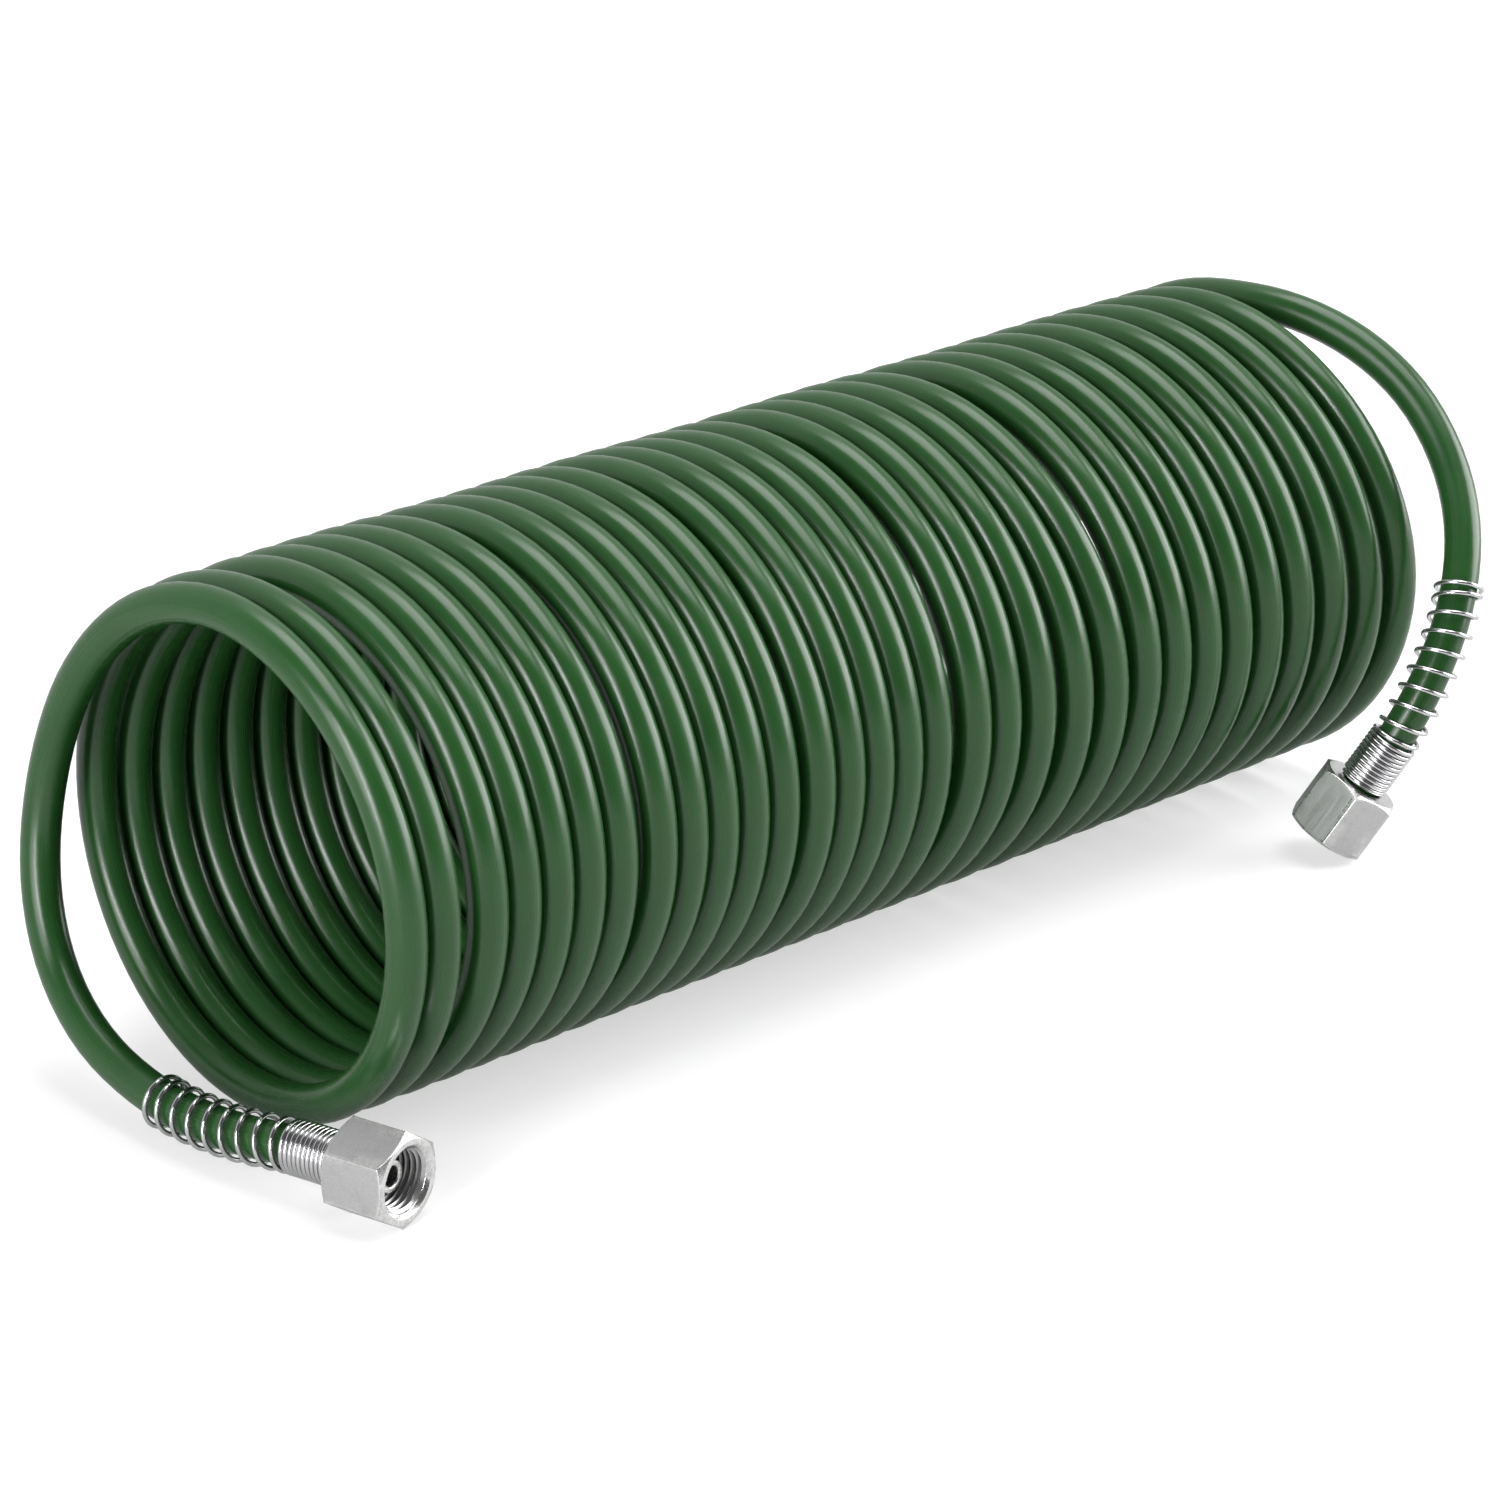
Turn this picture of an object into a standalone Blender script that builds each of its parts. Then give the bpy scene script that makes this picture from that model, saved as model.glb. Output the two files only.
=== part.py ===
# A recoil air hose: one green plastic tube wound into a self-supporting coil
# that lies on its side, with a free tail at each end. Each tail runs through a
# wire spring guard into a swivel nut, which turns on a stem in the hose's end.
#
# Frame: metres, +Z up. The floor is Z = 0, the coil's axis runs along X, and
# the near end of the coil is at -X.

import math

import bmesh
import bpy
from mathutils import Matrix, Vector

# Driving sizes

tube_diameter = 0.0080
coil_centre_radius = 0.0505
coil_turns = 31
tight_turns = 15
tight_pitch = 0.0081
pitch_growth = 0.00015
looser_turns = {2: 0.0035, 7: 0.0022, 12: 0.0017, 17: 0.0029, 22: 0.0033}
turn_crest_flat = 0.0036
turn_valley_depth = 0.0024
coil_segments = 28

wire_diameter = 0.0010
spring_clearance = 0.0005
close_turns = 12
close_gap = 0.00005
open_turns = 8
open_pitch = 0.00405
end_pitch = 0.0013
spring_steps = 10

nut_across_flats = 0.0170
nut_length = 0.0140
nut_rear_wall = 0.0025
nut_rear_clearance = 0.0007
nut_thread_bore = 0.0122
nut_mouth_diameter = 0.0144
nut_chamfer_angle = math.radians(30)
nut_chamfer_circle = 0.0166

stem_bore = 0.0040
stem_neck_diameter = 0.0080
stem_flange_clearance = 0.0004
stem_flange_length = 0.0018
stem_nose_base = 0.0094
stem_nose_tip = 0.0063
stem_nose_depth = 0.0038
stem_shoulder_length = 0.0016
turned_segments = 24

touch_gap = 0.0003
hose_entry = 0.0010

# Where the object stands in its frame

first_top_x = -0.13745
coil_axis_y = 0.0114

# Sizes that follow from these

tube_radius = tube_diameter / 2
coil_axis_height = coil_centre_radius + tube_radius
spring_mean_radius = tube_radius + spring_clearance + wire_diameter / 2
nut_corner_radius = nut_across_flats / math.sqrt(3)
nut_rear_bore = tube_diameter + 2 * nut_rear_clearance
stem_flange_diameter = nut_thread_bore - 2 * stem_flange_clearance


def pitch_after(turn):
    """Distance from one turn's crest to the next, along the coil."""
    grown = max(0, turn - tight_turns) * pitch_growth
    return tight_pitch + grown + looser_turns.get(turn, 0.0)


turn_crests = [first_top_x]
for turn in range(1, coil_turns + 1):
    turn_crests.append(turn_crests[-1] + pitch_after(turn))
last_top_x = turn_crests[-1]

# Where the two swivel nuts lie

near_nut_heading = Vector((0.225, -0.974, 0.0)).normalized()
near_nut_turn = math.radians(4.5)
near_nut_height = nut_corner_radius * math.cos(near_nut_turn)
near_mouth = Vector((first_top_x - 0.0068, coil_axis_y - coil_centre_radius - 0.0094, near_nut_height))
near_corner = Vector((-0.974, -0.225, 0.0)).normalized() * math.cos(math.radians(30) + near_nut_turn)
near_corner += Vector((0.0, 0.0, 1.0)) * math.sin(math.radians(30) + near_nut_turn)

far_nut_heading = Vector((-0.400, 0.366, -0.841)).normalized()
far_nut_slope = math.sqrt(1 - far_nut_heading.z ** 2)
far_nut_height = nut_length / 2 * abs(far_nut_heading.z) + nut_corner_radius * far_nut_slope - 0.0008
far_nut_centre = Vector((last_top_x - 0.0312, coil_axis_y - coil_centre_radius - 0.0116, far_nut_height))
far_corner = Vector((-0.6354, -0.6748, 0.3754))
far_corner -= far_nut_heading * far_corner.dot(far_nut_heading)

# Helpers


def material(name, colour, roughness, metallic):
    made = bpy.data.materials.new(name)
    made.use_nodes = True
    shader = made.node_tree.nodes["Principled BSDF"]
    shader.inputs["Base Color"].default_value = (*colour, 1.0)
    shader.inputs["Roughness"].default_value = roughness
    shader.inputs["Metallic"].default_value = metallic
    return made


def add_object(name, data, made_material=None):
    made = bpy.data.objects.new(name, data)
    bpy.context.scene.collection.objects.link(made)
    if made_material is not None:
        data.materials.append(made_material)
    return made


def turned_mesh(name, profile, segments):
    """Spin a closed outline of (radius, height) points about local Z."""
    shape = bmesh.new()
    ring = [shape.verts.new((radius, 0.0, height)) for radius, height in profile]
    edges = [shape.edges.new((ring[i], ring[(i + 1) % len(ring)])) for i in range(len(ring))]
    bmesh.ops.spin(
        shape,
        geom=ring + edges,
        cent=(0.0, 0.0, 0.0),
        axis=(0.0, 0.0, 1.0),
        angle=2 * math.pi,
        steps=segments,
        use_merge=True,
        use_duplicate=False,
    )
    bmesh.ops.remove_doubles(shape, verts=shape.verts, dist=0.000001)
    loose = [edge for edge in shape.edges if not edge.link_faces]
    bmesh.ops.delete(shape, geom=loose, context="EDGES")
    bmesh.ops.recalc_face_normals(shape, faces=shape.faces)
    mesh = bpy.data.meshes.new(name)
    shape.to_mesh(mesh)
    shape.free()
    mesh.shade_smooth()
    mesh.set_sharp_from_angle(angle=math.radians(30))
    return mesh


def coil_point(angle_degrees, radius, x):
    """A point beside the coil: the angle runs from the top toward -Y."""
    angle = math.radians(angle_degrees)
    return Vector((x, coil_axis_y - radius * math.sin(angle), coil_axis_height + radius * math.cos(angle)))


def smooth_route(points, samples):
    """Uniform cubic curve steered by the route's points, from the second to the last but one."""
    path = []
    for a, b, c, d in zip(points, points[1:], points[2:], points[3:]):
        for step in range(samples):
            t = step / samples
            path.append(
                a * ((1 - t) ** 3 / 6)
                + b * ((3 * t ** 3 - 6 * t ** 2 + 4) / 6)
                + c * ((-3 * t ** 3 + 3 * t ** 2 + 3 * t + 1) / 6)
                + d * (t ** 3 / 6)
            )
    path.append((points[-3] + points[-2] * 4 + points[-1]) / 6)
    return path


def point_along(path, distance):
    """The place and heading at a distance along a path of close points."""
    for start, end in zip(path, path[1:]):
        length = (end - start).length
        if distance <= length or end is path[-1]:
            return start + (end - start) * (distance / length), (end - start).normalized()
        distance -= length
    return path[-1], (path[-1] - path[-2]).normalized()


def path_length(path):
    return sum((end - start).length for start, end in zip(path, path[1:]))


def round_bar(name, points, diameter, resolution, made_material):
    """A poly curve with a round bevel and filled ends."""
    curve = bpy.data.curves.new(name, "CURVE")
    curve.dimensions = "3D"
    curve.bevel_depth = diameter / 2
    curve.bevel_resolution = resolution
    curve.use_fill_caps = True
    spline = curve.splines.new("POLY")
    spline.points.add(len(points) - 1)
    for place, point in zip(spline.points, points):
        place.co = (*point, 1.0)
        place.radius = 1.0
    spline.use_smooth = True
    return add_object(name, curve, made_material)


def fitting_frame(rear_centre, heading, corner):
    """Local Z is the fitting's axis toward its mouth, local Y one corner of the nut."""
    axis_y = corner.normalized()
    axis_x = axis_y.cross(heading)
    turn = Matrix((axis_x, axis_y, heading)).transposed().to_4x4()
    return Matrix.Translation(rear_centre) @ turn


# An empty scene

for old in list(bpy.data.objects):
    bpy.data.objects.remove(old, do_unlink=True)

hose_green = material("hose_green", (0.045, 0.190, 0.060), 0.34, 0.0)
spring_steel = material("spring_steel", (0.74, 0.74, 0.75), 0.22, 1.0)
nickel_nut = material("nickel_nut", (0.62, 0.62, 0.62), 0.38, 1.0)
nickel_stem = material("nickel_stem", (0.55, 0.55, 0.56), 0.30, 1.0)

# The wound coil: one turned solid with its bore and a ridge for each turn
# The two tails take the first and the last crest, so the solid has the turns between.

coil_start = first_top_x + tube_radius + touch_gap
coil_end = last_top_x - tube_radius - touch_gap
outer_radius = coil_centre_radius + tube_radius
bore_radius = coil_centre_radius - tube_radius
inner_crests = turn_crests[1:-1]
valleys = [(a + b) / 2 for a, b in zip(inner_crests, inner_crests[1:])]

coil_profile = [(bore_radius, coil_start)]
coil_profile.append((outer_radius - turn_valley_depth, coil_start))
for number, crest in enumerate(inner_crests):
    coil_profile.append((outer_radius, crest - turn_crest_flat / 2))
    coil_profile.append((outer_radius, crest + turn_crest_flat / 2))
    if number < len(valleys):
        coil_profile.append((outer_radius - turn_valley_depth, valleys[number]))
coil_profile.append((outer_radius - turn_valley_depth, coil_end))
coil_profile.append((bore_radius, coil_end))

hose_coil = add_object("hose_coil", turned_mesh("hose_coil", coil_profile, coil_segments), hose_green)
hose_coil.matrix_world = Matrix.Translation((0.0, coil_axis_y, coil_axis_height)) @ Matrix.Rotation(
    math.radians(90), 4, "Y"
)

# The fittings' places

near_frame = fitting_frame(near_mouth - near_nut_heading * nut_length, near_nut_heading, near_corner)
far_frame = fitting_frame(far_nut_centre - far_nut_heading * nut_length / 2, far_nut_heading, far_corner)

# The two tails' routes, from the coil to the fitting
# Each row is a point beside the coil: its angle from the top toward -Y, how far it
# lies outside the wound turns, and how far along from the crest that the tail leaves.

steer_angle = 12.0
steer_radius = 3 * coil_centre_radius / (2 + math.cos(math.radians(steer_angle)))

near_turns = [
    (-12.0, -0.0004, -0.0009),
    (-24.0, -0.0010, -0.0017),
    (-36.0, -0.0018, -0.0025),
    (-48.0, -0.0024, -0.0033),
    (-60.0, -0.0026, -0.0042),
    (-72.0, -0.0023, -0.0049),
    (-84.0, -0.0017, -0.0061),
    (-96.0, -0.0009, -0.0079),
    (-108.0, -0.0003, -0.0101),
    (-120.0, -0.0003, -0.0123),
    (-132.0, -0.0010, -0.0142),
    (-144.0, -0.0023, -0.0157),
    (-156.0, -0.0036, -0.0166),
    (-168.0, -0.0045, -0.0169),
    (-180.0, -0.0044, -0.0171),
    (-192.0, -0.0031, -0.0166),
    (-204.0, -0.0002, -0.0154),
]
far_turns = [
    (10.0, 0.0008, 0.0015),
    (20.0, 0.0018, 0.0037),
    (30.0, 0.0030, 0.0059),
    (40.0, 0.0045, 0.0076),
    (50.0, 0.0064, 0.0084),
    (60.0, 0.0085, 0.0080),
    (69.5, 0.0115, 0.0060),
    (78.0, 0.0147, 0.0025),
    (85.5, 0.0177, -0.0023),
    (92.6, 0.0203, -0.0078),
    (99.4, 0.0221, -0.0137),
    (106.2, 0.0233, -0.0194),
]
fitting_line = (-0.0140, -0.0090, -0.0040)


def tail_route(turns, crest, pitch, way, frame):
    """Steering points from the last wound turn, round the tail and into the fitting."""
    wound = coil_point(-way * steer_angle, steer_radius, crest - way * pitch * steer_angle / 360)
    points = [wound, coil_point(0.0, steer_radius, crest)]
    for angle, out, along in turns:
        points.append(coil_point(angle, steer_radius + out, crest + along))
    for distance in fitting_line:
        points.append(frame @ Vector((0.0, 0.0, distance)))
    entry = frame @ Vector((0.0, 0.0, hose_entry))
    points.append(entry)
    points.append(entry * 2 - points[-2])
    return points


near_path = smooth_route(tail_route(near_turns, first_top_x, pitch_after(1), -1, near_frame), 16)
far_path = smooth_route(tail_route(far_turns, last_top_x, pitch_after(coil_turns), 1, far_frame), 16)

# The two tails of the hose

route_step = 1.5 * tube_diameter


def tail_points(path):
    steps = max(4, round(path_length(path) / route_step))
    return [point_along(path, path_length(path) * step / steps)[0] for step in range(steps + 1)]


near_tail = round_bar("near_hose_tail", tail_points(near_path), tube_diameter, 3, hose_green)
far_tail = round_bar("far_hose_tail", tail_points(far_path), tube_diameter, 3, hose_green)

# The spring guards: a wire helix round each tail, close wound beside the nut


def spring_places():
    """Each step of the wire: its turn and its distance from the nut's rear face."""
    places = []
    distance = touch_gap + wire_diameter / 2
    total_turns = close_turns + open_turns + 1
    for step in range(total_turns * spring_steps + 1):
        turn = step / spring_steps
        places.append((turn, distance))
        if turn < close_turns - 1:
            pitch = wire_diameter + close_gap
        elif turn < close_turns:
            pitch = (wire_diameter + close_gap + open_pitch) / 2
        elif turn < total_turns - 1:
            pitch = open_pitch
        else:
            pitch = end_pitch
        distance += pitch / spring_steps
    return places


def spring_points(path):
    """Wind the wire about the tail, starting beside the nut."""
    back = list(reversed(path))
    side = Vector((0.0, 0.0, 1.0))
    points = []
    for turn, distance in spring_places():
        place, heading = point_along(back, hose_entry + distance)
        side = (side - heading * side.dot(heading)).normalized()
        across = heading.cross(side)
        angle = 2 * math.pi * turn
        points.append(place + (side * math.cos(angle) + across * math.sin(angle)) * spring_mean_radius)
    return points


near_spring = round_bar("near_spring_guard", spring_points(near_path), wire_diameter, 0, spring_steel)
far_spring = round_bar("far_spring_guard", spring_points(far_path), wire_diameter, 0, spring_steel)

# The swivel nuts and the stems that they turn on

chamfer_height = (nut_corner_radius - nut_chamfer_circle / 2) * math.tan(nut_chamfer_angle)
chamfer_profile = [
    (0.0, 0.0),
    (nut_chamfer_circle / 2, 0.0),
    (nut_corner_radius + 0.0005, chamfer_height + 0.0005 * math.tan(nut_chamfer_angle)),
    (nut_corner_radius + 0.0005, nut_length - chamfer_height - 0.0005 * math.tan(nut_chamfer_angle)),
    (nut_chamfer_circle / 2, nut_length),
    (0.0, nut_length),
]
mouth_slope = (nut_mouth_diameter - nut_thread_bore) / 2
bore_profile = [
    (0.0, -0.001),
    (nut_rear_bore / 2, -0.001),
    (nut_rear_bore / 2, nut_rear_wall),
    (nut_thread_bore / 2, nut_rear_wall),
    (nut_thread_bore / 2, nut_length - mouth_slope),
    (nut_mouth_diameter / 2, nut_length),
    (nut_mouth_diameter / 2, nut_length + 0.001),
    (0.0, nut_length + 0.001),
]
neck_start = hose_entry + touch_gap
flange_start = nut_rear_wall + touch_gap
flange_end = flange_start + stem_flange_length
nose_end = nut_length - stem_nose_depth
stem_profile = [
    (stem_bore / 2, neck_start),
    (stem_neck_diameter / 2, neck_start),
    (stem_neck_diameter / 2, flange_start),
    (stem_flange_diameter / 2, flange_start),
    (stem_flange_diameter / 2, flange_end),
    (stem_nose_base / 2, flange_end),
    (stem_nose_base / 2, flange_end + stem_shoulder_length),
    (stem_nose_tip / 2, nose_end),
    (stem_bore / 2, nose_end),
]
chamfer_mesh = turned_mesh("nut_chamfer_guide", chamfer_profile, turned_segments * 2)
bore_mesh = turned_mesh("nut_bore_guide", bore_profile, turned_segments)
stem_mesh = turned_mesh("stem", stem_profile, turned_segments)
stem_mesh.materials.append(nickel_stem)

hexagon = bmesh.new()
bmesh.ops.create_cone(
    hexagon,
    cap_ends=True,
    segments=6,
    radius1=nut_corner_radius,
    radius2=nut_corner_radius,
    depth=nut_length,
    matrix=Matrix.Translation((0.0, 0.0, nut_length / 2)),
)
nut_mesh = bpy.data.meshes.new("swivel_nut")
hexagon.to_mesh(nut_mesh)
hexagon.free()
nut_mesh.materials.append(nickel_nut)


def cutter(name, mesh, frame):
    made = add_object(name, mesh)
    made.matrix_world = frame
    made.hide_render = True
    made.display_type = "WIRE"
    return made


def add_fitting(end, frame):
    pivot = add_object(end + "_swivel_axis", None)
    pivot.matrix_world = frame
    nut = add_object(end + "_swivel_nut", nut_mesh)
    nut.parent = pivot
    chamfer = nut.modifiers.new("Chamfered ends", "BOOLEAN")
    chamfer.operation = "INTERSECT"
    chamfer.solver = "EXACT"
    chamfer.object = cutter(end + "_chamfer_guide", chamfer_mesh, frame)
    bore = nut.modifiers.new("Bore", "BOOLEAN")
    bore.operation = "DIFFERENCE"
    bore.solver = "EXACT"
    bore.object = cutter(end + "_bore_guide", bore_mesh, frame)
    stem = add_object(end + "_stem", stem_mesh)
    stem.matrix_world = frame


add_fitting("near", near_frame)
add_fitting("far", far_frame)
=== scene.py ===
# %% [markdown]
# A recoil air hose is one plastic tube that was wound hot round a bar, so it keeps
# the shape of a coil and springs back to it. At each end the tube leaves the coil,
# runs through a wire spring guard that stops it from kinking, and ends in a swivel
# nut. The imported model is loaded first: every new piece has to lie where its solids
# are, and has to move with one of its bodies.

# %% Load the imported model
import math

import bmesh
import bpy
from mathutils import Matrix, Vector


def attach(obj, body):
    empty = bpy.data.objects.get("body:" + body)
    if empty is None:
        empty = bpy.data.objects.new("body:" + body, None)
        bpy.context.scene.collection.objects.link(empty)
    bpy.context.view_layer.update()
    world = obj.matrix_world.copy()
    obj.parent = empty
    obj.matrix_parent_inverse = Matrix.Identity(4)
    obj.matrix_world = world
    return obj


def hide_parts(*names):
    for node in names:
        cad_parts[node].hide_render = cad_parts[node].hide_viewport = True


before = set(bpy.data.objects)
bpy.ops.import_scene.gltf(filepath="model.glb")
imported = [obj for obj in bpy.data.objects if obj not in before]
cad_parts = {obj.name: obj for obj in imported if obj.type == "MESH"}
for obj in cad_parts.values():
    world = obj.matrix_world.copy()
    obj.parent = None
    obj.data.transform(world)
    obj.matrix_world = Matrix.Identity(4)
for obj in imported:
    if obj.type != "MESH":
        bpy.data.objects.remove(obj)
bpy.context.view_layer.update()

# %% [markdown]
# The camera stands in front of the coil's near end, a little to its left, and looks
# down by 22 degrees. A long lens keeps the turns nearly the same size from the near
# end to the far end. It is placed once, so that every later piece can be judged from
# the same view.

# %% Place the camera
scene = bpy.context.scene
camera_data = bpy.data.cameras.new("camera")
camera_data.sensor_width = 36.0
camera_data.lens = 124.85
camera_data.clip_start = 0.05
camera_data.clip_end = 30.0
camera = bpy.data.objects.new("camera", camera_data)
scene.collection.objects.link(camera)
camera.location = (-0.68855, -0.71881, 0.44470)
camera.rotation_euler = Vector((0.6353, 0.6749, -0.3754)).to_track_quat("-Z", "Y").to_euler()
scene.camera = camera
print("camera distance from the middle of the coil:", round(camera.location.length, 3), "m")

# %% [markdown]
# All sizes are real ones, in metres. The tube is 8 mm thick and its middle runs on a
# circle of 50.5 mm radius. The first fifteen turns lie side by side, and after them
# each gap is a little wider than the last, because the coil has been stretched and
# has not closed again. A few single gaps stand open for the same reason.

# %% Sizes of the hose
tube_diameter = 0.0080
tube_radius = tube_diameter / 2
coil_centre_radius = 0.0505
coil_turns = 31
tight_turns = 15
tight_pitch = 0.0081
pitch_growth = 0.00015
looser_turns = {2: 0.0035, 7: 0.0022, 12: 0.0017, 17: 0.0029, 22: 0.0033}
first_top_x = -0.13745
coil_axis_y = 0.0114
coil_axis_height = coil_centre_radius + tube_radius


def pitch_after(turn):
    """Distance from one turn's crest to the next, along the coil."""
    grown = max(0, turn - tight_turns) * pitch_growth
    return tight_pitch + grown + looser_turns.get(turn, 0.0)


turn_crests = [first_top_x]
for turn in range(1, coil_turns + 1):
    turn_crests.append(turn_crests[-1] + pitch_after(turn))
last_top_x = turn_crests[-1]
print("turns:", coil_turns, " crest to crest:", round(last_top_x - first_top_x, 4), "m")

# %% [markdown]
# Each end of the hose is held by a fitting, and a fitting needs a place, a heading
# and a turn about its own axis. A matrix holds all three. In a fitting's own frame
# the axis is local Z, with zero at the nut's rear face and the mouth at 14 mm, and
# local Y points to one corner of the hexagon. The offsets along X and Y are taken
# from the front of the first turn and of the last.

# %% Places of the two fittings
nut_across_flats = 0.0170
nut_length = 0.0140
nut_corner_radius = nut_across_flats / math.sqrt(3)
hose_entry = 0.0010


def fitting_frame(rear_centre, heading, corner):
    """Local Z is the fitting's axis toward its mouth, local Y one corner of the nut."""
    axis_y = (corner - heading * corner.dot(heading)).normalized()
    axis_x = axis_y.cross(heading)
    turn = Matrix((axis_x, axis_y, heading)).transposed().to_4x4()
    return Matrix.Translation(rear_centre) @ turn


front_y = coil_axis_y - coil_centre_radius
near_offset = (-0.0068, -0.0094)
near_heading = Vector((0.225, -0.974, 0.0)).normalized()
near_turn = math.radians(4.5)
corner_lift = math.radians(30) + near_turn
near_height = nut_corner_radius * math.cos(near_turn)
near_mouth = Vector((first_top_x + near_offset[0], front_y + near_offset[1], near_height))
near_corner = Vector((-0.974, -0.225, 0.0)).normalized() * math.cos(corner_lift)
near_corner += Vector((0.0, 0.0, 1.0)) * math.sin(corner_lift)

far_offset = (-0.0312, -0.0116)
chamfer_drop = 0.0008
far_heading = Vector((-0.400, 0.366, -0.841)).normalized()
far_slope = math.sqrt(1 - far_heading.z ** 2)
far_height = nut_length / 2 * abs(far_heading.z) + nut_corner_radius * far_slope - chamfer_drop
far_centre = Vector((last_top_x + far_offset[0], front_y + far_offset[1], far_height))

near_frame = fitting_frame(near_mouth - near_heading * nut_length, near_heading, near_corner)
far_frame = fitting_frame(
    far_centre - far_heading * nut_length / 2, far_heading, Vector((-0.6354, -0.6748, 0.3754))
)
print("near nut's rear face:", [round(value, 4) for value in near_frame.translation])
print("far nut's rear face:", [round(value, 4) for value in far_frame.translation])

# %% [markdown]
# The route of the hose is one list of steering points from nut to nut: the near
# fitting, the tail that hangs behind the first turn, 31 turns, the far tail and the
# far fitting. A row of a tail gives the angle from the top of the coil toward the
# front, how far the tube lies outside the wound turns, and how far along. A slack
# coil leans: its gaps open at the front and top and close at the back, and the last
# turns fan out at the front. A row of the fans gives the turn where it starts, the
# turns that it grows for, and how far it leads in the end. Every angle is in degrees
# from the top toward the front.

# %% Steering points from nut to nut
steer_angle = 12.0
steer_radius = 3 * coil_centre_radius / (2 + math.cos(math.radians(steer_angle)))
near_turns = [
    (-12.0, -0.0004, -0.0009),
    (-24.0, -0.0010, -0.0017),
    (-36.0, -0.0018, -0.0025),
    (-48.0, -0.0024, -0.0033),
    (-60.0, -0.0026, -0.0042),
    (-72.0, -0.0023, -0.0049),
    (-84.0, -0.0017, -0.0061),
    (-96.0, -0.0009, -0.0079),
    (-108.0, -0.0003, -0.0101),
    (-120.0, -0.0003, -0.0123),
    (-132.0, -0.0010, -0.0142),
    (-144.0, -0.0023, -0.0157),
    (-156.0, -0.0036, -0.0166),
    (-168.0, -0.0045, -0.0169),
    (-180.0, -0.0044, -0.0171),
    (-192.0, -0.0031, -0.0166),
    (-204.0, -0.0002, -0.0154),
]
far_turns = [
    (10.0, 0.0008, 0.0015),
    (20.0, 0.0018, 0.0037),
    (30.0, 0.0030, 0.0059),
    (40.0, 0.0045, 0.0076),
    (50.0, 0.0064, 0.0084),
    (60.0, 0.0085, 0.0080),
    (69.5, 0.0115, 0.0060),
    (78.0, 0.0147, 0.0025),
    (85.5, 0.0177, -0.0023),
    (92.6, 0.0203, -0.0078),
    (99.4, 0.0221, -0.0137),
    (106.2, 0.0233, -0.0194),
]
fitting_line = (-0.0140, -0.0090, -0.0040)
fans = [(18, 3.6, 0.0058), (21.3, 0.9, -0.0027), (27, 3.5, 0.0032)]
fan_from = 15
fan_until = 130
fan_ramp = 90
gap_starts_before = 0.4
gap_centre = 35
gap_reach = 0.75
gap_softness = 1.25
sag = 0.00016
sag_by_turn = 0.83
sag_by_angle = 0.31


def coil_point(angle_degrees, radius, x):
    """A point beside the coil: the angle runs from the top toward -Y."""
    angle = math.radians(angle_degrees)
    return Vector((x, coil_axis_y - radius * math.sin(angle), coil_axis_height + radius * math.cos(angle)))


def tail_points(turns, crest, fitting):
    """Steering points from the coil round a tail and into its fitting."""
    points = [coil_point(angle, steer_radius + out, crest + along) for angle, out, along in turns]
    points += [fitting @ Vector((0.0, 0.0, distance)) for distance in fitting_line]
    entry = fitting @ Vector((0.0, 0.0, hose_entry))
    return points + [entry, entry * 2 - points[-1]]


def soft_step(value):
    value = min(1.0, max(0.0, value))
    return value * value * (3 - 2 * value)


def along_coil(turn, angle):
    """How far along the tube is, an angle past the crest that ends that many turns."""
    turns = turn + angle / 360
    closed = turn_crests[turn] - sum(gap for number, gap in looser_turns.items() if number <= turn)
    if angle > 0:
        closed += (pitch_after(turn + 1) - looser_turns.get(turn + 1, 0.0)) * angle / 360
    opened = sum(gap for number, gap in looser_turns.items() if turns >= number - gap_starts_before)
    evened = sum(looser_turns.values()) * turns / coil_turns
    front_share = soft_step((math.cos(math.radians(angle - gap_centre)) + gap_reach) / gap_softness)
    fan = sum(lead * soft_step((turns - start) / grows_for) for start, grows_for, lead in fans)
    fan_share = soft_step((angle - fan_from) / fan_ramp) * (1 - soft_step((angle - fan_until) / fan_ramp))
    return closed + evened + (opened - evened) * front_share + fan * fan_share


def wound_points():
    """Steering points of the turns. The tube sags in by a hair where nothing holds it."""
    points = []
    steps_per_turn = round(360 / steer_angle)
    for step in range(coil_turns * steps_per_turn + 1):
        turn, angle = divmod(step * steer_angle, 360)
        turn = int(turn)
        lift = (1 + math.cos(math.radians(angle))) / 2
        wave = math.sin(sag_by_turn * turn + math.radians(angle) * sag_by_angle)
        points.append(coil_point(angle, steer_radius - sag * (1 + wave) * lift, along_coil(turn, angle)))
    return points


near_tail = tail_points(near_turns, first_top_x, near_frame)
far_tail = tail_points(far_turns, last_top_x, far_frame)
steering = near_tail[::-1] + wound_points() + far_tail
print("steering points:", len(steering))

# %% [markdown]
# A tube can't turn a corner, so the points don't lie on the line: they pull it. Each
# stretch of a uniform cubic B-spline is a blend of four neighbouring points, and its
# heading and its bend both run on smoothly from one stretch to the next. That is how
# a springy tube lies, and a curve that is forced through every point would ripple.

# %% Draw the smooth line through the steering points
ring_spacing = 0.00400
samples_per_stretch = 12


def blend_of_four(a, b, c, d, t):
    return (
        a * ((1 - t) ** 3 / 6)
        + b * ((3 * t ** 3 - 6 * t ** 2 + 4) / 6)
        + c * ((-3 * t ** 3 + 3 * t ** 2 + 3 * t + 1) / 6)
        + d * (t ** 3 / 6)
    )


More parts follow.
